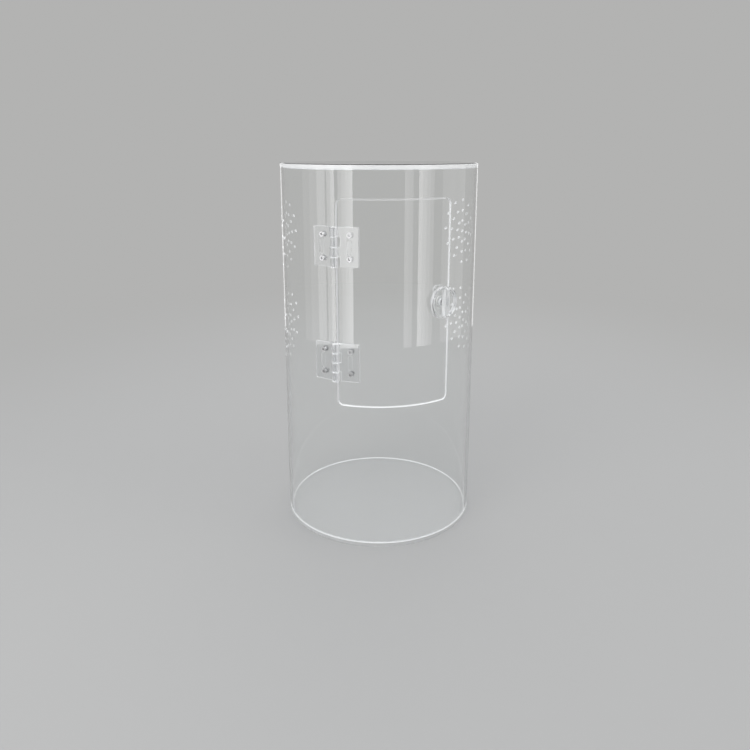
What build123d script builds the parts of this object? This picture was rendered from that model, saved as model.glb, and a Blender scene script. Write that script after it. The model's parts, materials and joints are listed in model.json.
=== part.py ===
# Insect terrarium: a clear acrylic tube with a base and a top disc, a curved
# door hung on two clear hinges and held by a turn latch, and round groups of
# air holes in both sides.
#
# Millimetres and degrees. Origin: centre of the underside of the base. +Z is up
# and the door faces -Y. An azimuth is measured from -Y towards +X, so the hinges
# are at a negative azimuth and the latch at a positive one.
from math import asin, cos, degrees, radians, sin, sqrt, tau
import os

from build123d import *

# Tube and its two discs
tube_diameter = 200.0
tube_wall = 3.0
overall_height = 375.0
disc_thickness = 4.0
disc_chamfer = 0.6

# Door, cut out of the wall of the tube
door_sweep = 64.4
door_height = 195.0
door_centre_height = 246.5
door_corner = 5.0
door_gap = 0.8
cut_edge_chamfer = 0.25

# Air holes: a centre hole and three rings in each group
vent_azimuth = 100.0
vent_heights = (205.0, 301.5)
vent_diameter = 3.0
vent_ring_pitch = 11.2
vent_ring_counts = (8, 12, 12)

# Hinges: two equal moulded leaves on one pin
hinge_names = ("lower", "upper")
hinge_heights = (192.0, 301.5)
leaf_width = 23.2
leaf_inner_edge = 5.2
leaf_length = 37.0
leaf_thickness = 2.2
leaf_corner = 0.8
leaf_edge_fillet = 0.4
leaf_seat_gap = 0.05
knuckle_count = 4
knuckle_diameter = 7.0
knuckle_gap = 0.3
knuckle_height_gap = 0.35
knuckle_root_fillet = 0.8
pin_diameter = 3.0
pin_play = 0.05
pin_chamfer = 0.3
groove_width = 4.5
groove_depth = 0.4
groove_end_gap = 1.0
groove_taper = 45.0

# Screws and nuts that hold the leaves
screw_setback = 14.2
screw_spacing = 22.0
screw_diameter = 2.5
screw_head_diameter = 4.8
screw_hole_play = 0.1
screw_end_out = 2.7
screw_tip_chamfer = 0.3
recess_length = 2.6
recess_width = 0.6
recess_depth = 0.7
nut_across_flats = 5.0
nut_thickness = 2.0
nut_corner_chamfer = 0.4
nut_seat_gap = 0.02
nut_thread_gap = 0.05

# Turn latch near the free edge of the door
latch_height = 247.5
latch_setback = 8.5
latch_play = 0.15
knob_diameter = 31.0
knob_floor = 2.0
knob_rim_width = 3.0
knob_rim_height = 2.4
knob_rim_fillet = 1.1
knob_foot_fillet = 0.6
knob_boss_diameter = 10.0
knob_boss_height = 0.3
grip_width = 4.0
grip_height = 5.4
grip_edge_fillet = 1.2
spindle_diameter = 7.0
spindle_play = 0.08
spindle_flats = 5.4
spacer_diameter = 11.0
spacer_thickness = 1.8
cam_length = 31.0
cam_door_side = 6.0
cam_free_side = 6.0
cam_thickness = 3.0
cam_corner = 4.0
cam_edge_chamfer = 0.4
cam_hole_play = 0.05
latch_washer_diameter = 8.0
latch_washer_thickness = 0.6
latch_screw_diameter = 3.0
latch_screw_depth = 6.0
latch_screw_head_diameter = 5.6
latch_screw_head_height = 2.0
latch_screw_head_fillet = 0.7
latch_screw_gap = 0.05
latch_screw_end_gap = 1.0

# Worked out from the sizes above
outer_radius = tube_diameter / 2
inner_radius = outer_radius - tube_wall
tube_height = overall_height - 2 * disc_thickness
door_half_arc = door_sweep / 2
gap_arc = degrees(door_gap / outer_radius)
door_bottom = door_centre_height - door_height / 2
drill_margin = 2.0


def sagitta(radius, half_width):
    """Depth of a round wall of this radius over a chord's half width."""
    return radius - sqrt(radius**2 - half_width**2)


def wall_plane(azimuth, height, radius=outer_radius):
    """Plane that touches the tube: x along the curve, y up, z outwards."""
    turn = radians(azimuth)
    return Plane(
        origin=(radius * sin(turn), -radius * cos(turn), height),
        x_dir=(cos(turn), sin(turn), 0),
        z_dir=(sin(turn), -cos(turn), 0),
    )


def shifted(plane, x=0.0, y=0.0, z=0.0):
    """The same plane with its origin moved along its own axes."""
    return Plane(
        origin=plane.from_local_coords(Vector(x, y, z)),
        x_dir=plane.x_dir,
        z_dir=plane.z_dir,
    )


def radial_plane(azimuth):
    """Plane through the tube's axis: x outwards, y up."""
    turn = radians(azimuth)
    return Plane(
        origin=(0, 0, 0),
        x_dir=(sin(turn), -cos(turn), 0),
        z_dir=(-cos(turn), -sin(turn), 0),
    )


def edges_through(edges):
    """Those edges of a cut in the wall that run through the wall."""
    return edges.filter_by(GeomType.LINE).filter_by(Axis.Z, reverse=True)


def wall_panel(half_arc, bottom, height, inside, outside, corner):
    """Curved panel on the tube's axis, with rounded corners."""
    with BuildPart() as panel:
        with BuildSketch(radial_plane(-half_arc)):
            with Locations(((inside + outside) / 2, bottom + height / 2)):
                Rectangle(outside - inside, height)
        revolve(axis=Axis.Z, revolution_arc=2 * half_arc)
        fillet(edges_through(panel.edges()), corner)
    return panel.part


def vent_planes():
    """A drilling plane for each air hole, on the outside of the wall."""
    planes = []
    for side in (-1, 1):
        for height in vent_heights:
            planes.append(wall_plane(side * vent_azimuth, height))
            for ring, count in enumerate(vent_ring_counts, start=1):
                for step in range(count):
                    spoke = tau * step / count
                    along = ring * vent_ring_pitch * cos(spoke)
                    up = ring * vent_ring_pitch * sin(spoke)
                    azimuth = side * vent_azimuth + degrees(along / outer_radius)
                    planes.append(wall_plane(azimuth, height + up))
    return planes


# The pin stands over the joint line on the hinge side of the door, and each leaf
# lies flat on the curve where its screws are.
pin_stand_off = knuckle_diameter / 2 + knuckle_height_gap
pin_radius = outer_radius + pin_stand_off
pin_azimuth = -door_half_arc - gap_arc / 2
leaf_turn = degrees(asin(screw_setback / pin_radius))
pin_above_leaf = pin_radius * cos(radians(leaf_turn)) - outer_radius - leaf_seat_gap
nut_reach = nut_across_flats / sqrt(3)
nut_seat = tube_wall + sagitta(inner_radius, nut_reach) + nut_seat_gap
screw_length = leaf_thickness + leaf_seat_gap + nut_seat + nut_thickness + screw_end_out


def leaf_plane(side, height):
    """Seat of a leaf: z outwards, and x from the pin to the leaf's free edge."""
    seat = wall_plane(pin_azimuth + side * leaf_turn, height, outer_radius + leaf_seat_gap)
    return Plane(origin=seat.origin, x_dir=seat.x_dir * side, z_dir=seat.z_dir)


def screw_planes(side, height, lift=0.0):
    """The two screw places of a leaf, raised above its seat."""
    seat = leaf_plane(side, height)
    return [shifted(seat, y=offset, z=lift) for offset in (-screw_spacing / 2, screw_spacing / 2)]


def hole_planes(side, height):
    """The same two places on the outside of the wall."""
    return screw_planes(side, height, lift=drill_margin - leaf_seat_gap)


screw_hole_radius = screw_diameter / 2 + screw_hole_play
all_tube_holes = [plane for height in hinge_heights for plane in hole_planes(-1, height)]
all_door_holes = [plane for height in hinge_heights for plane in hole_planes(1, height)]
drill_depth = tube_wall + 2 * drill_margin

# The latch turns on a line square to the wall
latch_azimuth = door_half_arc - degrees(latch_setback / outer_radius)
latch_plane = wall_plane(latch_azimuth, latch_height)
knob_seat = latch_play
spacer_reach = spacer_diameter / 2
spacer_seat = -tube_wall - sagitta(inner_radius, spacer_reach) - latch_play
cam_seat = spacer_seat - spacer_thickness
washer_seat = cam_seat - cam_thickness
screw_seat = washer_seat - latch_washer_thickness
knob_underside = knob_seat + knob_boss_height
knob_floor_top = knob_underside + knob_floor
knob_rim_top = knob_floor_top + knob_rim_height
knob_radius = knob_diameter / 2

# Tube: the wall with the door's opening, the air holes and the screw holes
door_opening = wall_panel(
    door_half_arc + gap_arc,
    door_bottom - door_gap,
    door_height + 2 * door_gap,
    inner_radius - drill_margin,
    outer_radius + drill_margin,
    door_corner + door_gap,
)
with BuildPart() as tube_shell:
    with BuildSketch(Plane.XY.offset(disc_thickness)):
        Circle(outer_radius)
        Circle(inner_radius, mode=Mode.SUBTRACT)
    extrude(amount=tube_height)
    add(door_opening, mode=Mode.SUBTRACT)
    opening_edges = tube_shell.edges(Select.LAST)
    chamfer(opening_edges - edges_through(opening_edges), cut_edge_chamfer)
    with Locations(*[shifted(plane, z=drill_margin) for plane in vent_planes()]):
        Hole(vent_diameter / 2, depth=drill_depth)
    with Locations(*all_tube_holes):
        Hole(screw_hole_radius, depth=drill_depth)

# Base and top: equal discs welded to the ends of the tube
with BuildPart() as base_disc:
    with BuildSketch():
        Circle(outer_radius)
    extrude(amount=disc_thickness)
    chamfer(base_disc.faces().sort_by(Axis.Z)[0].edges(), disc_chamfer)

with BuildPart() as top_disc:
    with BuildSketch(Plane.XY.offset(disc_thickness + tube_height)):
        Circle(outer_radius)
    extrude(amount=disc_thickness)
    chamfer(top_disc.faces().sort_by(Axis.Z)[-1].edges(), disc_chamfer)

# Door panel, with the holes for its hinge screws and for the latch
door_blank = wall_panel(
    door_half_arc, door_bottom, door_height, inner_radius, outer_radius, door_corner
)
with BuildPart() as door_panel:
    add(door_blank)
    chamfer(door_panel.edges() - edges_through(door_panel.edges()), cut_edge_chamfer)
    with Locations(*all_door_holes):
        Hole(screw_hole_radius, depth=drill_depth)
    with Locations(shifted(latch_plane, z=drill_margin)):
        Hole(spindle_diameter / 2 + spindle_play, depth=drill_depth)

# Hinge leaf, on its seat plane: four equal mouldings, two to a hinge. The pin's
# line is at x = -screw_setback, and the first and third knuckle are its own. The
# leaf's sizes across are counted from the pin.
knuckle_pitch = leaf_length / knuckle_count
with BuildPart() as hinge_leaf:
    with BuildSketch():
        with Locations(((leaf_width - 2 * screw_setback + leaf_inner_edge) / 2, 0)):
            Rectangle(leaf_width - leaf_inner_edge, leaf_length)
    extrude(amount=leaf_thickness)
    free_edges = hinge_leaf.edges().filter_by(Axis.Z).group_by(Axis.X)[-1]
    fillet(free_edges, leaf_corner)
    fillet(hinge_leaf.faces().sort_by(Axis.Z)[-1].edges(), leaf_edge_fillet)
    for own in range(0, knuckle_count, 2):
        knuckle_top = leaf_length / 2 - own * knuckle_pitch - knuckle_gap / 2
        with BuildSketch(Plane.XZ.offset(-knuckle_top)) as knuckle_section:
            with Locations((-screw_setback, pin_above_leaf)):
                Circle(knuckle_diameter / 2)
            with Locations((-screw_setback, 0)):
                Rectangle(
                    leaf_inner_edge + leaf_thickness, leaf_thickness, align=(Align.MIN, Align.MIN)
                )
            plate_top = knuckle_section.vertices().filter_by_position(
                Axis.Y, leaf_thickness, leaf_thickness
            )
            fillet(plate_top.sort_by(Axis.X)[0], knuckle_root_fillet)
            with Locations((-screw_setback, pin_above_leaf)):
                Circle(pin_diameter / 2 + pin_play, mode=Mode.SUBTRACT)
        extrude(amount=knuckle_pitch - knuckle_gap)
    with BuildSketch(Plane.XY.offset(leaf_thickness)):
        SlotOverall(
            screw_spacing - screw_head_diameter - 2 * groove_end_gap, groove_width, rotation=90
        )
    extrude(amount=-groove_depth, taper=groove_taper, mode=Mode.SUBTRACT)
    with Locations(
        (0, -screw_spacing / 2, leaf_thickness), (0, screw_spacing / 2, leaf_thickness)
    ):
        CounterSinkHole(screw_hole_radius, screw_head_diameter / 2 + screw_hole_play)

# Countersunk screw, head at z = 0 and shank downwards
with BuildPart() as leaf_screw:
    with BuildSketch(Plane.XZ):
        with BuildLine():
            Polyline(
                (0, 0),
                (screw_head_diameter / 2, 0),
                (screw_diameter / 2, (screw_diameter - screw_head_diameter) / 2),
                (screw_diameter / 2, screw_tip_chamfer - screw_length),
                (screw_diameter / 2 - screw_tip_chamfer, -screw_length),
                (0, -screw_length),
                close=True,
            )
        make_face()
    revolve(axis=Axis.Z)
    with BuildSketch():
        Rectangle(recess_length, recess_width)
        Rectangle(recess_width, recess_length)
    extrude(amount=-recess_depth, mode=Mode.SUBTRACT)

# Nut, seated at z = 0 and standing downwards
with BuildPart() as nut_turning:
    Cylinder(nut_reach, nut_thickness, align=(Align.CENTER, Align.CENTER, Align.MAX))
    chamfer(nut_turning.faces().sort_by(Axis.Z)[0].edges(), nut_corner_chamfer)
with BuildPart() as leaf_nut:
    with BuildSketch():
        RegularPolygon(nut_across_flats / 2, 6, major_radius=False)
        Circle(screw_diameter / 2 + nut_thread_gap, mode=Mode.SUBTRACT)
    extrude(amount=-nut_thickness)
    add(nut_turning.part, mode=Mode.INTERSECT)

# Latch, drawn on its own axis: z outwards, and z = 0 on the outside of the wall.
# Knob: disc with a raised rim and a grip bar, on a spindle whose end has two
# flats for the cam and a hole for the screw
with BuildPart() as latch_knob:
    with BuildSketch(Plane.XZ):
        with BuildLine():
            Polyline(
                (0, washer_seat + cam_hole_play),
                (spindle_diameter / 2, washer_seat + cam_hole_play),
                (spindle_diameter / 2, knob_seat),
                (knob_boss_diameter / 2, knob_seat),
                (knob_boss_diameter / 2, knob_underside),
                (knob_radius, knob_underside),
                (knob_radius, knob_rim_top),
                (knob_radius - knob_rim_width, knob_rim_top),
                (knob_radius - knob_rim_width, knob_floor_top),
                (0, knob_floor_top),
                close=True,
            )
        make_face()
    revolve(axis=Axis.Z)
    outer_edges = latch_knob.edges().filter_by(GeomType.CIRCLE).group_by(SortBy.RADIUS)[-1]
    fillet(outer_edges.sort_by(Axis.Z)[0], knob_foot_fillet)
    fillet(latch_knob.faces().sort_by(Axis.Z)[-1].edges(), knob_rim_fillet)
    with BuildSketch(Plane.XY.offset(knob_floor_top)):
        Circle(knob_radius - knob_rim_width / 2)
        Rectangle(grip_width, knob_diameter, mode=Mode.INTERSECT)
    extrude(amount=grip_height)
    grip_top = latch_knob.faces().sort_by(Axis.Z)[-1]
    fillet(grip_top.edges(), grip_edge_fillet)
    with BuildSketch(Plane.XY.offset(cam_seat)):
        Circle(spindle_diameter)
        Rectangle(spindle_flats, 2 * spindle_diameter, mode=Mode.SUBTRACT)
    extrude(amount=-cam_thickness, mode=Mode.SUBTRACT)
    with BuildSketch(Plane.XY.offset(washer_seat)):
        Circle(latch_screw_diameter / 2 + latch_screw_gap)
    extrude(amount=latch_screw_depth, mode=Mode.SUBTRACT)

# Spacer ring between the door and the cam
with BuildPart() as latch_spacer:
    with BuildSketch(Plane.XY.offset(cam_seat)):
        Circle(spacer_diameter / 2)
        Circle(spindle_diameter / 2 + spindle_play, mode=Mode.SUBTRACT)
    extrude(amount=spacer_thickness)

# Cam: stands upright at rest, and turns behind the wall of the tube to lock
with BuildPart() as latch_cam:
    with BuildSketch(Plane.XY.offset(washer_seat)):
        with Locations(((cam_free_side - cam_door_side) / 2, 0)):
            RectangleRounded(cam_door_side + cam_free_side, cam_length, cam_corner)
    extrude(amount=cam_thickness)
    chamfer(latch_cam.faces().filter_by(Axis.Z).edges(), cam_edge_chamfer)
    with BuildSketch(Plane.XY.offset(washer_seat)):
        Circle(spindle_diameter / 2 + cam_hole_play)
        Rectangle(spindle_flats + 2 * cam_hole_play, 2 * spindle_diameter, mode=Mode.INTERSECT)
    extrude(amount=cam_thickness, mode=Mode.SUBTRACT)

with BuildPart() as latch_washer:
    with BuildSketch(Plane.XY.offset(screw_seat)):
        Circle(latch_washer_diameter / 2)
        Circle(latch_screw_diameter / 2 + latch_screw_gap, mode=Mode.SUBTRACT)
    extrude(amount=latch_washer_thickness)

# Pan-headed screw, through the washer into the spindle
with BuildPart() as latch_screw:
    with BuildSketch(Plane.XY.offset(screw_seat)):
        Circle(latch_screw_head_diameter / 2)
    extrude(amount=-latch_screw_head_height)
    head_face = latch_screw.faces().sort_by(Axis.Z)[0]
    fillet(head_face.edges(), latch_screw_head_fillet)
    with BuildSketch(Plane.XY.offset(screw_seat)):
        Circle(latch_screw_diameter / 2)
    extrude(amount=latch_washer_thickness + latch_screw_depth - latch_screw_end_gap)
    with BuildSketch(Plane.XY.offset(screw_seat - latch_screw_head_height)):
        Rectangle(recess_length, recess_width)
        Rectangle(recess_width, recess_length)
    extrude(amount=recess_depth, mode=Mode.SUBTRACT)

pieces = {
    "tube_shell": tube_shell,
    "base_disc": base_disc,
    "top_disc": top_disc,
    "door_panel": door_panel,
}

# The latch, set at its place on the door
drawn_latch = {
    "latch_knob": latch_knob,
    "latch_spacer": latch_spacer,
    "latch_cam": latch_cam,
    "latch_washer": latch_washer,
    "latch_screw": latch_screw,
}
for name, drawn in drawn_latch.items():
    with BuildPart() as placed:
        with Locations(latch_plane):
            add(drawn.part)
    pieces[name] = placed

# Both hinges: two leaves, a pin, and the screws and nuts of each leaf
for name, height in zip(hinge_names, hinge_heights):
    for leaf_name, side in (("tube", -1), ("door", 1)):
        with BuildPart() as leaf:
            with Locations(leaf_plane(side, height)):
                add(hinge_leaf.part)
        with BuildPart() as screws:
            with Locations(*screw_planes(side, height, lift=leaf_thickness)):
                add(leaf_screw.part)
        with BuildPart() as nuts:
            with Locations(*screw_planes(side, height, lift=-nut_seat - leaf_seat_gap)):
                add(leaf_nut.part)
        pieces[f"{name}_hinge_{leaf_name}_leaf"] = leaf
        pieces[f"{name}_hinge_{leaf_name}_screws"] = screws
        pieces[f"{name}_hinge_{leaf_name}_nuts"] = nuts
    with BuildPart() as pin:
        pin_foot = wall_plane(pin_azimuth, height - leaf_length / 2, pin_radius).origin
        with BuildSketch(Plane(pin_foot)):
            Circle(pin_diameter / 2)
        extrude(amount=leaf_length)
        chamfer(pin.edges().filter_by(GeomType.CIRCLE), pin_chamfer)
    pieces[f"{name}_hinge_pin"] = pin

os.makedirs("parts", exist_ok=True)
for name, piece in pieces.items():
    piece.part.label = name
    export_step(piece.part, f"parts/{name}.step")
print("pieces", len(pieces))
print("pin axis", wall_plane(pin_azimuth, door_centre_height, pin_radius).origin)
print("latch axis", latch_plane.origin, latch_plane.z_dir)
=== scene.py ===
import json
from math import asin, atan2, cos, pi, radians, sin, tan

import bmesh
import bpy
from mathutils import Matrix, Vector
from mathutils.noise import noise as noiseAt

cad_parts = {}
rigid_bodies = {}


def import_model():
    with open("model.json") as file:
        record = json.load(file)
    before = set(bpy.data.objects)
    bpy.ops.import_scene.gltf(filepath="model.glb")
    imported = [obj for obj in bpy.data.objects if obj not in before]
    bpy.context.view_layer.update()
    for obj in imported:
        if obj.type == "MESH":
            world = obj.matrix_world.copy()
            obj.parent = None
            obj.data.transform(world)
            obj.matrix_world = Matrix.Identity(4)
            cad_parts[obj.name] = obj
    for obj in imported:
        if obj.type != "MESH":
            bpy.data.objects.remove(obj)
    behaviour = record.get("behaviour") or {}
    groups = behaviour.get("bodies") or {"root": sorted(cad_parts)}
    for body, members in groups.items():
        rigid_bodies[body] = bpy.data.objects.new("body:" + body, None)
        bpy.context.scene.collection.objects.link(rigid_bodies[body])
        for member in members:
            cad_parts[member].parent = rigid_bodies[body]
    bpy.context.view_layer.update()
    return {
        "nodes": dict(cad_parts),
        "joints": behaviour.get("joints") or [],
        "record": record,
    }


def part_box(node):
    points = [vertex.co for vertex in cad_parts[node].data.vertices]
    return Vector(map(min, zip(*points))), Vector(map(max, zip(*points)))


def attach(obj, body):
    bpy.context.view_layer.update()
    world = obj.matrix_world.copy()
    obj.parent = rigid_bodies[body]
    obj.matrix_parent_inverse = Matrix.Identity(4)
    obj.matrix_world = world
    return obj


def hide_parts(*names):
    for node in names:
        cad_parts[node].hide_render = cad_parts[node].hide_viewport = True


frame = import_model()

print("frame loaded:", len(frame["nodes"]), "nodes")


class Wire:  # a socket in a node tree, so that sums can be written as sums
    def __init__(self, tree, socket=None):
        self.tree = tree
        self.socket = socket

    def node(self, kind, settings, inputs, output=0):
        made = self.tree.nodes.new("ShaderNode" + kind)
        for name, value in settings.items():
            if name == "stops":
                self.fillRamp(made.color_ramp.elements, value)
            else:
                setattr(made, name, value)
        for name, value in inputs.items():
            if isinstance(value, Wire):
                self.tree.links.new(value.socket, made.inputs[name])
            else:
                made.inputs[name].default_value = value
        return Wire(self.tree, made.outputs[output] if made.outputs else None)

    def fillRamp(self, elements, stops):  # a new ramp has two stops, as each one here
        for element, (place, colour) in zip(elements, stops):
            element.position = place
            element.color = colour

    def maths(self, operation, first, second=0.0):
        return self.node("Math", {"operation": operation}, {0: first, 1: second})

    def vectors(self, operation, inputs, output="Vector"):
        return self.node("VectorMath", {"operation": operation}, inputs, output)

    def __add__(self, other):
        return self.maths("ADD", self, other)

    def __radd__(self, other):
        return self.maths("ADD", other, self)

    def __sub__(self, other):
        return self.maths("SUBTRACT", self, other)

    def __rsub__(self, other):
        return self.maths("SUBTRACT", other, self)

    def __mul__(self, other):
        return self.maths("MULTIPLY", self, other)

    def __rmul__(self, other):
        return self.maths("MULTIPLY", other, self)

    def __abs__(self):
        return self.maths("ABSOLUTE", self)

    def __gt__(self, other):
        return self.maths("GREATER_THAN", self, other)

    def __lt__(self, other):
        return self.maths("LESS_THAN", self, other)


def startMaterial(name):
    material = bpy.data.materials.new(name)
    material.use_nodes = True
    material.node_tree.nodes.clear()
    return material, Wire(material.node_tree)


def endMaterial(wire, surface):
    wire.node("OutputMaterial", {}, {"Surface": surface})


def objectPlace(wire):
    return wire.node("TexCoord", {}, {}, "Object")


def noise(wire, scale, detail, rough):
    return wire.node("TexNoise", {}, {
        "Vector": objectPlace(wire), "Scale": scale, "Detail": detail, "Roughness": rough})


def fade(wire, value, start, end, curve="LINEAR"):  # 0 at the start value, 1 at the end value
    return wire.node("MapRange", {"interpolation_type": curve}, {
        "Value": value, "From Min": start, "From Max": end})


def axisPart(wire, vector, axis):  # one number out of a vector, by the name of its axis
    return wire.node("SeparateXYZ", {}, {"Vector": vector}, axis)


def faceNormal(wire):
    return wire.node("NewGeometry", {}, {}, "True Normal")


def turned(wire, normal, before, after):  # a normal of one space, in the other
    spaces = {"vector_type": "NORMAL", "convert_from": before, "convert_to": after}
    return wire.node("VectorTransform", spaces, {"Vector": normal})


# clear parts: the cast tube and sheet, the moulded hinges, the moulded latch, the welds
# a noise, here and below, is its scale, detail and roughness
clearLook = {
    "acrylic": {"colour": (0.985, 0.99, 0.988, 1), "ior": 1.49, "rough": 0.012, "wavy": 0.03},
    # paintedHighlight: how much of a moulding's sides is painted white and matt, a painted
    # highlight
    "hinge": {"colour": (0.95, 0.955, 0.96, 1), "ior": 1.55, "rough": 0.04, "wavy": 0.08,
              "paintedHighlight": 0.8},
    "latch": {"colour": (0.975, 0.98, 0.98, 1), "ior": 1.49, "rough": 0.02, "wavy": 0.05,
              "paintedHighlight": 0.45},
    "weld": {"colour": (0.985, 0.99, 0.988, 1), "ior": 1.49, "rough": 0.012, "wavy": 0.03,
             "paintedHighlight": 0.4},
    "scratches": (240.0, 4.0, 0.7),
    "scratchesFrom": 0.66,
    "scratchRough": 0.02,
    "smears": (22.0, 3.0, 0.5),
    "waves": (30.0, 1.0, 0.5),
    "waveDepth": 0.0004,
    "shadow": (0.93, 0.933, 0.937, 1),
}

# their matt edges: sawn and drilled in the tube and sheet, and on a moulding a white matt finish on
# sides and corners that is a painted highlight
# of two limits, a face is clear above the first and matt below the second
edgeLook = {
    "sawn": {"colour": (0.97, 0.975, 0.97, 1), "rough": 0.4, "clear": 0.08,
             "grain": (900.0, 3.0, 0.6)},
    # the white matt finish of a moulding's sides and corners, a painted highlight
    "moulded": {"colour": (0.97, 0.975, 0.975, 1), "rough": 0.3, "clear": 0.2,
                "grain": (500.0, 3.0, 0.6)},
    "ior": 1.49,
    "uneven": 0.2,
    "relief": 0.3,
    "depth": 0.0001,
    "wallCut": (0.75, 0.6),  # how squarely a face looks along the tube's radius
    # which sides and corners of a moulding get the painted highlight
    "mouldSide": (0.8, 0.3),
    "corner": (0.99, 0.85),  # how flat a face stays within the corner's width
    "cornerWidth": 0.0006,
    "cornerSamples": 6,
    "paintedCornerShare": 0.9,
    "rimBelow": 0.3,
    "rimShare": 0.6,
}


def polished(wire, look, normal=None):
    scratches = noise(wire, *clearLook["scratches"]) > clearLook["scratchesFrom"]
    smears = noise(wire, *clearLook["smears"]) - 0.5
    rough = look["rough"] + scratches * clearLook["scratchRough"] + smears * look["rough"]
    waves = {"Strength": look["wavy"], "Distance": clearLook["waveDepth"],
             "Height": noise(wire, *clearLook["waves"])}
    if normal:
        waves["Normal"] = normal
    return wire.node("BsdfPrincipled", {}, {
        "Base Color": look["colour"], "Roughness": rough, "IOR": look["ior"],
        "Transmission Weight": 1.0, "Normal": wire.node("Bump", {}, waves)})


def matted(wire, look):
    marks = noise(wire, *look["grain"])
    relief = wire.node("Bump", {}, {
        "Strength": edgeLook["relief"], "Distance": edgeLook["depth"], "Height": marks})
    return wire.node("BsdfPrincipled", {}, {
        "Base Color": look["colour"], "Roughness": look["rough"] + marks * edgeLook["uneven"],
        "IOR": edgeLook["ior"], "Transmission Weight": look["clear"], "Normal": relief})


def endClear(wire, cut, clear, matt):  # matt where it is cut, and lamps and floor shine through
    surface = wire.node("MixShader", {}, {0: cut, 1: clear, 2: matt})
    passes = wire.node("BsdfTransparent", {}, {"Color": clearLook["shadow"]})
    for ray in ("Shadow", "Diffuse"):
        lit = wire.node("LightPath", {}, {}, "Is " + ray + " Ray")
        surface = wire.node("MixShader", {}, {0: lit, 1: surface, 2: passes})
    endMaterial(wire, surface)


def radial(wire):  # the direction out from the tube's axis, and how squarely a face looks along it
    level = wire.vectors("MULTIPLY", {0: objectPlace(wire), 1: (1.0, 1.0, 0.0)})
    outward = wire.vectors("NORMALIZE", {0: level})
    facing = turned(wire, faceNormal(wire), "WORLD", "OBJECT")
    return outward, wire.vectors("DOT_PRODUCT", {0: facing, 1: outward}, "Value")


def roundNormal(wire, outward, along):  # of a clear round wall, without its facets
    exact = wire.vectors("SCALE", {0: outward, "Scale": wire.maths("SIGN", along)})
    return turned(wire, exact, "OBJECT", "WORLD")


def wallMaterial():  # tube and door
    material, wire = startMaterial("clearTube")
    outward, along = radial(wire)
    cut = fade(wire, abs(along), *edgeLook["wallCut"])
    clear = polished(wire, clearLook["acrylic"], roundNormal(wire, outward, along))
    endClear(wire, cut, clear, matted(wire, edgeLook["sawn"]))
    return material


def discMaterial():  # base and top: sawn on the rim
    material, wire = startMaterial("clearDisc")
    rise = axisPart(wire, turned(wire, faceNormal(wire), "WORLD", "OBJECT"), "Z")
    cut = (abs(rise) < edgeLook["rimBelow"]) * edgeLook["rimShare"]
    endClear(wire, cut, polished(wire, clearLook["acrylic"]), matted(wire, edgeLook["sawn"]))
    return material


def mouldedMaterial(name, look):  # the sides and corners of a moulding are painted white and matt, a painted highlight where they would catch the light
    material, wire = startMaterial(name)
    side = fade(wire, abs(radial(wire)[1]), *edgeLook["mouldSide"])
    samples, width = edgeLook["cornerSamples"], edgeLook["cornerWidth"]
    eased = wire.node("Bevel", {"samples": samples}, {"Radius": width})
    bend = wire.vectors("DOT_PRODUCT", {0: faceNormal(wire), 1: eased}, "Value")
    corner = fade(wire, bend, *edgeLook["corner"])
    # painted highlight: sides and corners of the clear moulding turn white and matt
    paintedHighlight = wire.maths("MAXIMUM", side * look["paintedHighlight"], corner * edgeLook["paintedCornerShare"])
    endClear(wire, paintedHighlight, polished(wire, look), matted(wire, edgeLook["moulded"]))
    return material


# solid parts: the grain runs from the dark to the light colour
solidLook = {
    "steel": {"dark": (0.3, 0.3, 0.305, 1), "light": (0.42, 0.42, 0.425, 1), "metal": 1.0,
              "grain": (1500.0, 3.0, 0.6), "rough": 0.3, "uneven": 0.16, "relief": 0.1},
    "nylon": {"dark": (0.7, 0.7, 0.68, 1), "light": (0.8, 0.8, 0.78, 1), "metal": 0.0,
              "grain": (900.0, 3.0, 0.6), "rough": 0.4, "uneven": 0.15, "relief": 0.15},
    "darkAt": 0.3,
    "lightAt": 0.7,
    "depth": 0.0001,
}


def solidMaterial(name, look):
    material, wire = startMaterial(name)
    grain = noise(wire, *look["grain"])
    stops = [(solidLook["darkAt"], look["dark"]), (solidLook["lightAt"], look["light"])]
    relief = wire.node("Bump", {}, {
        "Strength": look["relief"], "Distance": solidLook["depth"], "Height": grain})
    endMaterial(wire, wire.node("BsdfPrincipled", {}, {
        "Base Color": wire.node("ValToRGB", {"stops": stops}, {"Fac": grain}),
        "Roughness": look["rough"] + grain * look["uneven"],
        "Metallic": look["metal"], "Normal": relief}))
    return material


finishes = {  # by the record's slots
    "clear_acrylic": wallMaterial(),
    "clear_hinge": mouldedMaterial("mouldedHinge", clearLook["hinge"]),
    "clear_latch": mouldedMaterial("mouldedLatch", clearLook["latch"]),
    "steel": solidMaterial("stainlessSteel", solidLook["steel"]),
    "white_nylon": solidMaterial("whiteNylon", solidLook["nylon"]),
}
discFinish = discMaterial()
# the clear welds get the same painted highlight, white and matt on their sides and corners
weldFinish = mouldedMaterial("solventWeld", clearLook["weld"])


def dressNodes():
    ownFinish = {"base_disc": discFinish, "top_disc": discFinish}
    for part in frame["record"]["subparts"]:
        finish = ownFinish.get(part["node"], finishes[part["material_slot"]])
        for place in bpy.data.objects[part["node"]].material_slots:
            place.material = finish


dressNodes()
print("nodes dressed:", len(frame["nodes"]))

# new pieces: each is drawn on its own axis, then put where the frame says
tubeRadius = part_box("tube_shell")[1].x
jointPlace = {joint["name"]: Vector(joint["pos_m"]) for joint in frame["joints"]}
pinPlace = jointPlace["door_swing"]
latchPlace = jointPlace["latch_turn"]
latchInward = -latchPlace.xy.normalized().to_3d()
drawing = {"arcSteps": 4, "mergeWithin": 1e-6, "sharpFrom": 32}


def outwardAt(azimuth):
    return Vector((sin(azimuth), -cos(azimuth), 0))


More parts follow.
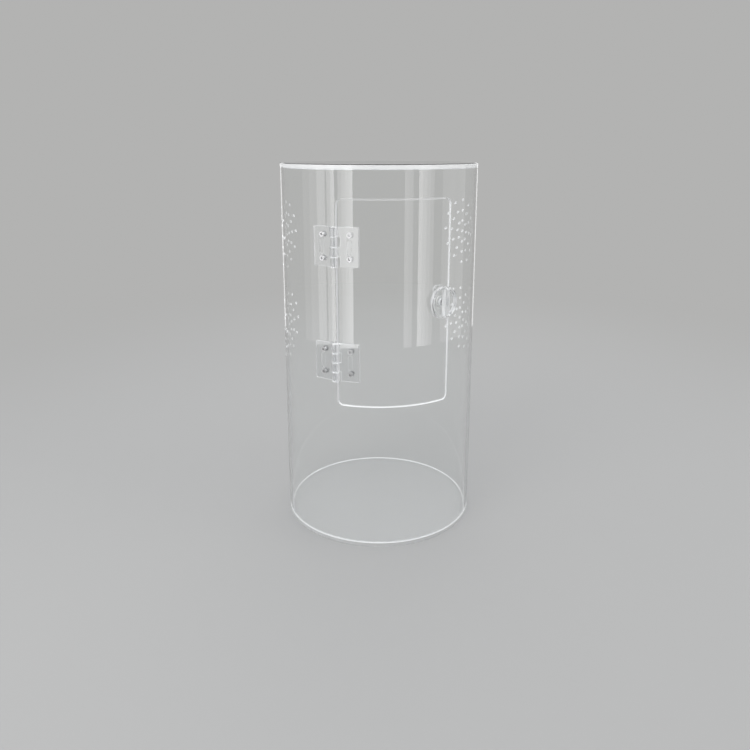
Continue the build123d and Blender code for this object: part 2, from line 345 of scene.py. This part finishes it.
def reachAlong(node, direction):  # how far a CAD node reaches each way along a direction
    along = [vertex.co.dot(direction) for vertex in frame["nodes"][node].data.vertices]
    return min(along), max(along)


def quarterTurn():  # the angles of a rounded corner's points
    return [step * pi / 2 / drawing["arcSteps"] for step in range(drawing["arcSteps"] + 1)]


def lathe(shape, outline, steps):  # outline of (radius, height) points, turned round z
    points = [shape.verts.new((radius, 0, height)) for radius, height in outline]
    edges = [shape.edges.new(pair) for pair in zip(points, points[1:])]
    bmesh.ops.spin(shape, geom=points + edges, cent=(0, 0, 0), axis=(0, 0, 1), angle=2 * pi,
                   steps=steps, use_merge=True)
    bmesh.ops.remove_doubles(shape, verts=shape.verts, dist=drawing["mergeWithin"])


def standOn(shape, outward, reach, height):  # the drawn +z turns outward, its zero goes to reach
    place = outward * reach + Vector((0, 0, height))
    turn = outward.to_track_quat("Z", "Y").to_matrix().to_4x4()
    bmesh.ops.transform(shape, matrix=Matrix.Translation(place) @ turn, verts=shape.verts)


def finishPiece(name, shape, finish, body, replaced=()):
    bmesh.ops.recalc_face_normals(shape, faces=shape.faces)
    mesh = bpy.data.meshes.new(name)
    shape.to_mesh(mesh)
    shape.free()
    mesh.materials.append(finish)
    mesh.shade_smooth()
    mesh.set_sharp_from_angle(angle=radians(drawing["sharpFrom"]))
    piece = bpy.data.objects.new(name, mesh)
    bpy.context.collection.objects.link(piece)
    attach(piece, body)
    if replaced:
        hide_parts(*replaced)


# threaded screws: countersunk in the hinge leaves, pan-headed in the latch
screwSizes = {
    "leaf": {"head": 0.0024, "land": 0.00018, "cone": 0.00118, "shank": 0.00125, "root": 0.00097,
             "pitch": 0.00045, "sunk": 0.00005, "tip": 0.0003,
             "recess": 0.0014, "slot": 0.0004, "deep": 0.001},
    "latch": {"head": 0.0028, "land": 0.0007, "cone": 0.002, "shank": 0.0015, "root": 0.00119,
              "pitch": 0.0005, "sunk": 0.00006, "tip": 0.0003,
              "recess": 0.0015, "slot": 0.00035, "deep": 0.0009},
    "steps": 24,
    "threadSteps": 14,
    "threadStart": 0.3,  # below the head, in pitches
    "ridge": (0.05, 0.45, 0.55, 0.95),  # foot, crest's two edges and foot, in pitches
    "recessTaper": 0.75,
    "setback": 0.0142,  # from the pin, along the leaf
    "spacing": 0.022,
    "turnByOffset": 60,  # each recess stands at its own angle
    "turnByHeight": 9,
}


def crossRecess(shape, size):  # a cross cut into the flat top of the head
    rim = [edge for edge in shape.edges if edge.is_boundary]
    slot, recess = size["slot"], size["recess"]
    corners = []
    for quarter in range(4):
        turn = Matrix.Rotation(quarter * pi / 2, 3, "Z")
        for x, y in ((slot, slot), (slot, recess), (-slot, recess)):
            corners.append(shape.verts.new(turn @ Vector((x, y, 0))))
    cross = [shape.edges.new(pair) for pair in zip(corners, corners[1:] + corners[:1])]
    bmesh.ops.triangle_fill(shape, use_beauty=True, use_dissolve=False, edges=rim + cross)
    wall = bmesh.ops.extrude_edge_only(shape, edges=cross)["geom"]
    low = [item for item in wall if isinstance(item, bmesh.types.BMVert)]
    bmesh.ops.translate(shape, verts=low, vec=(0, 0, -size["deep"]))
    bmesh.ops.scale(shape, verts=low, vec=(screwSizes["recessTaper"], screwSizes["recessTaper"], 1))
    floor = [item for item in wall if isinstance(item, bmesh.types.BMEdge)]
    bmesh.ops.contextual_create(shape, geom=floor)


def thread(shape, size, top, bottom):  # one closed ridge, sunk a little, wound down the shank
    pitch, steps = size["pitch"], screwSizes["threadSteps"]
    turns = int((top - bottom) / pitch) - 1
    foot = size["root"] - size["sunk"]
    outline = zip((foot, size["shank"], size["shank"], foot), screwSizes["ridge"])
    points = [shape.verts.new((radius, 0, top - drop * pitch)) for radius, drop in outline]
    edges = [shape.edges.new((points[i], points[i - 1])) for i in range(len(points))]
    bmesh.ops.spin(shape, geom=points + edges, cent=(0, 0, 0), axis=(0, 0, 1), angle=2 * pi * turns,
                   steps=steps * turns, dvec=(0, 0, -pitch / steps))
    ends = [edge for edge in shape.edges if edge.is_boundary]
    bmesh.ops.holes_fill(shape, edges=ends, sides=len(points))


def drawScrew(size, length, panHead):
    head, land, cone, root, tip = (size[name] for name in ("head", "land", "cone", "root", "tip"))
    if panHead:
        outline = [(head - land * (1 - sin(angle)), -land * (1 - cos(angle)))
                   for angle in quarterTurn()]
        outline += [(head, -cone), (root, -cone)]
    else:
        outline = [(head, 0), (head, -land), (size["shank"], -cone), (root, -cone - size["pitch"])]
    outline += [(root, tip - length), (root - tip, -length), (0, -length)]
    shape = bmesh.new()
    lathe(shape, outline, screwSizes["steps"])
    crossRecess(shape, size)
    thread(shape, size, -cone - screwSizes["threadStart"] * size["pitch"], tip - length)
    return shape


def addTo(shape, other):
    held = bpy.data.meshes.new("held")
    other.to_mesh(held)
    other.free()
    shape.from_mesh(held)
    bpy.data.meshes.remove(held)


def addLeafScrews():
    pinAzimuth = atan2(pinPlace.x, -pinPlace.y)
    leafTurn = asin(screwSizes["setback"] / pinPlace.xy.length)
    half = screwSizes["spacing"] / 2
    for hinge in ("lower", "upper"):
        for body, side in (("tube", -1), ("door", 1)):
            node = hinge + "_hinge_" + body + "_screws"
            outward = outwardAt(pinAzimuth + side * leafTurn)
            tip, top = reachAlong(node, outward)
            middle = (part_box(node)[0].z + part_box(node)[1].z) / 2
            both = bmesh.new()
            for offset in (-half, half):
                one = drawScrew(screwSizes["leaf"], top - tip, False)
                turn = (offset * screwSizes["turnByOffset"]
                        + side * middle * screwSizes["turnByHeight"])
                bmesh.ops.rotate(one, cent=(0, 0, 0), verts=one.verts,
                                 matrix=Matrix.Rotation(turn, 3, "Z"))
                standOn(one, outward, top, middle + offset)
                addTo(both, one)
            name = hinge + "_" + body + "_threaded_screws"
            finishPiece(name, both, finishes["steel"], body, (node,))


def addLatchScrew():
    tip, top = reachAlong("latch_screw", latchInward)
    screw = drawScrew(screwSizes["latch"], top - tip, True)
    standOn(screw, latchInward, top, latchPlace.z)
    finish = finishes["steel"]
    finishPiece("latch_threaded_screw", screw, finish, "latch", ("latch_screw",))


addLeafScrews()
addLatchScrew()
print("screws added, with threads and cross recesses")

# nylon spacer behind the cam, a hair clear of its neighbours, with eased edges
spacerSizes = {"bore": 0.00358, "eased": 0.00025, "clear": 0.00003, "steps": 72}


def addSpacer():
    low, high = reachAlong("latch_spacer", latchInward)
    radius = (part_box("latch_spacer")[1].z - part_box("latch_spacer")[0].z) / 2
    bore, eased, clear = spacerSizes["bore"], spacerSizes["eased"], spacerSizes["clear"]
    top, foot = -clear, low - high + clear
    outline = [(bore, top - eased), (bore + eased, top),
               (radius - eased, top), (radius, top - eased),
               (radius, foot + eased), (radius - eased, foot),
               (bore + eased, foot), (bore, foot + eased)]
    ring = bmesh.new()
    lathe(ring, outline + outline[:1], spacerSizes["steps"])
    standOn(ring, latchInward, high, latchPlace.z)
    finish = finishes["white_nylon"]
    finishPiece("latch_nylon_spacer", ring, finish, "latch", ("latch_spacer",))


addSpacer()
print("spacer added")

# solvent welds: an uneven clear fillet inside, where the tube meets its discs
weldSizes = {
    "wall": 0.003,
    "width": 0.0008,
    "clear": 0.00003,
    "steps": 240,
    "uneven": 0.35,
    "lumps": 9.0,
}


def addWeld(name, level, up):
    width, clear = weldSizes["width"], weldSizes["clear"]
    corner = Vector((tubeRadius - weldSizes["wall"] - clear, level + up * clear))
    arc = [(corner.x - width * (1 - sin(angle)), corner.y + up * width * (1 - cos(angle)))
           for angle in quarterTurn()]
    shape = bmesh.new()
    lathe(shape, [tuple(corner)] + arc + [tuple(corner)], weldSizes["steps"])
    for vertex in shape.verts:
        lump = noiseAt(vertex.co.normalized() * weldSizes["lumps"] + Vector((0, 0, level)))
        size = 1 + weldSizes["uneven"] * lump
        spread = corner.x - vertex.co.xy.length
        rise = vertex.co.z - corner.y
        along = vertex.co.xy.normalized() * (corner.x - spread * size)
        vertex.co = (along.x, along.y, corner.y + rise * size)
    finishPiece(name, shape, weldFinish, "tube")


addWeld("base_weld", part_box("base_disc")[1].z, 1)
addWeld("top_weld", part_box("top_disc")[0].z, -1)
print("welds added")

# studio: floor, lamps, camera
studio = {
    "floorSize": 12.0,
    "floorDrop": 0.0002,
    "floorColour": (0.45, 0.45, 0.445, 1),
    "floorRough": 0.6,
    "fadeFrom": 0.35,
    "fadeTo": 1.3,
    "backdrop": (0.45, 0.45, 0.445, 1),
    "ceiling": (1.5, 1.5, 1.5, 1),
    "ceilingFrom": 0.3,
    "ceilingTo": 0.6,
    "skyLight": (0.75, 0.76, 0.78, 1),
    "skyStrength": 0.8,
    "bounces": 24,
}
lamps = {
    "key": {"place": (-1.1, -1.0, 1.3), "size": (1.0, 1.0), "power": 16.0},
    "fill": {"place": (1.5, -0.7, 1.0), "size": (0.8, 1.4), "power": 8.0},
    "back": {"place": (0.4, 1.5, 1.4), "size": (1.6, 0.9), "power": 12.0},
}
lampAim = (0, 0, 0.19)
strips = {  # standing lights that only show as streaks in gloss, by azimuth in degrees
    "outerLeft": {"from": -98, "to": -67, "glows": (0.5, 1.0, 2.6)},
    "left": {"from": -65, "to": -56, "glows": (2.5, 4.5)},
    "window": {"from": -52, "to": -36, "glows": (2.0, 3.2, 4.4, 5.2)},
    "door": {"from": 17, "to": 26, "glows": (2.0, 1.5)},
    "right": {"from": 32, "to": 50, "glows": (4.0, 3.0, 2.0, 1.2)},
    "outerRight": {"from": 61, "to": 98, "glows": (0.8, 0.6)},
    "rearRight": {"from": 137, "to": 147, "glows": (0.7, 0.9)},
    "rearLeft": {"from": -163, "to": -153, "glows": (0.9, 0.7)},
}
stripStand = {"away": 0.6, "height": 1.1, "foot": 0.06}
camera = {
    "place": (-0.1172275, -0.7069323, 0.3884055),
    "yaw": 9.10,
    "pitch": 13.59,
    "lens": 33.04,
    "shiftY": -0.08,
    "clipStart": 0.01,
}


def seesBackdrop(wire):  # camera, gloss and clear parts see the backdrop's own colour
    seen = [wire.node("LightPath", {}, {}, "Is " + ray + " Ray")
            for ray in ("Camera", "Glossy", "Transmission")]
    return wire.maths("MAXIMUM", wire.maths("MAXIMUM", seen[0], seen[1]), seen[2])


def addFloor():
    shape = bmesh.new()
    bmesh.ops.create_grid(shape, x_segments=1, y_segments=1, size=studio["floorSize"] / 2)
    bmesh.ops.translate(shape, vec=(0, 0, -studio["floorDrop"]), verts=shape.verts)
    mesh = bpy.data.meshes.new("floor")
    shape.to_mesh(mesh)
    shape.free()
    floor = bpy.data.objects.new("floor", mesh)
    bpy.context.collection.objects.link(floor)
    material, wire = startMaterial("paleFloor")
    away = wire.vectors("LENGTH", {0: objectPlace(wire)}, "Value")
    far = fade(wire, away, studio["fadeFrom"], studio["fadeTo"], "SMOOTHSTEP")
    matt = wire.node("BsdfPrincipled", {}, {
        "Base Color": studio["floorColour"], "Roughness": studio["floorRough"],
        "Specular IOR Level": 0.0})
    plain = wire.node("Emission", {}, {"Color": studio["backdrop"]})
    endMaterial(wire, wire.node("MixShader", {}, {0: far * seesBackdrop(wire), 1: matt, 2: plain}))
    mesh.materials.append(material)


def addLamp(name, place, aim, width, height, power):
    light = bpy.data.lights.new(name, "AREA")
    light.shape = "RECTANGLE"
    light.size = width
    light.size_y = height
    light.energy = power
    holder = bpy.data.objects.new(name, light)
    holder.location = place
    holder.rotation_euler = (Vector(aim) - Vector(place)).to_track_quat("-Z", "Y").to_euler()
    holder.visible_camera = False
    holder.visible_transmission = False
    bpy.context.collection.objects.link(holder)
    return holder


def addStrip(name, strip):  # its glows stand side by side, from left to right
    away, height = stripStand["away"], stripStand["height"]
    middle = height / 2 + stripStand["foot"]
    step = radians(strip["to"] - strip["from"]) / len(strip["glows"])
    width = 2 * away * tan(step / 2)
    for number, glow in enumerate(strip["glows"]):
        outward = outwardAt(radians(strip["from"]) + (number + 0.5) * step)
        place = outward * away + Vector((0, 0, middle))
        holder = addLamp(name, place, (0, 0, middle), width, height, glow * width * height * pi)
        holder.visible_diffuse = False


def lightWorld():  # gloss and clear edges also find a bright ceiling
    world = bpy.data.worlds.new("studio")
    world.use_nodes = True
    world.node_tree.nodes.clear()
    wire = Wire(world.node_tree)
    sky = wire.node("Background", {}, {
        "Color": studio["skyLight"], "Strength": studio["skyStrength"]})
    rise = axisPart(wire, wire.node("TexCoord", {}, {}, "Generated"), "Z")
    high = fade(wire, rise, studio["ceilingFrom"], studio["ceilingTo"], "SMOOTHSTEP")
    plain = wire.node("Background", {}, {"Color": studio["backdrop"]})
    ceiling = wire.node("Background", {}, {"Color": studio["ceiling"]})
    room = wire.node("MixShader", {}, {0: high, 1: plain, 2: ceiling})
    shown = wire.node("MixShader", {}, {0: seesBackdrop(wire), 1: sky, 2: room})
    wire.node("OutputWorld", {}, {"Surface": shown})
    bpy.context.scene.world = world


def addCamera():
    lens = bpy.data.cameras.new("camera")
    lens.lens = camera["lens"]
    lens.shift_y = camera["shiftY"]
    lens.clip_start = camera["clipStart"]
    holder = bpy.data.objects.new("camera", lens)
    holder.location = camera["place"]
    holder.rotation_euler = (radians(90 - camera["pitch"]), 0, radians(-camera["yaw"]))
    bpy.context.collection.objects.link(holder)
    bpy.context.scene.camera = holder


addFloor()
for name, lamp in lamps.items():
    addLamp(name, lamp["place"], lampAim, *lamp["size"], lamp["power"])
for name, strip in strips.items():
    addStrip(name, strip)
lightWorld()
addCamera()
scene = bpy.context.scene
scene.view_settings.view_transform = "Standard"
scene.cycles.max_bounces = studio["bounces"]
scene.cycles.transmission_bounces = studio["bounces"]
scene.cycles.transparent_max_bounces = studio["bounces"]
print("studio set:", len(lamps), "lamps and", len(strips), "strips")
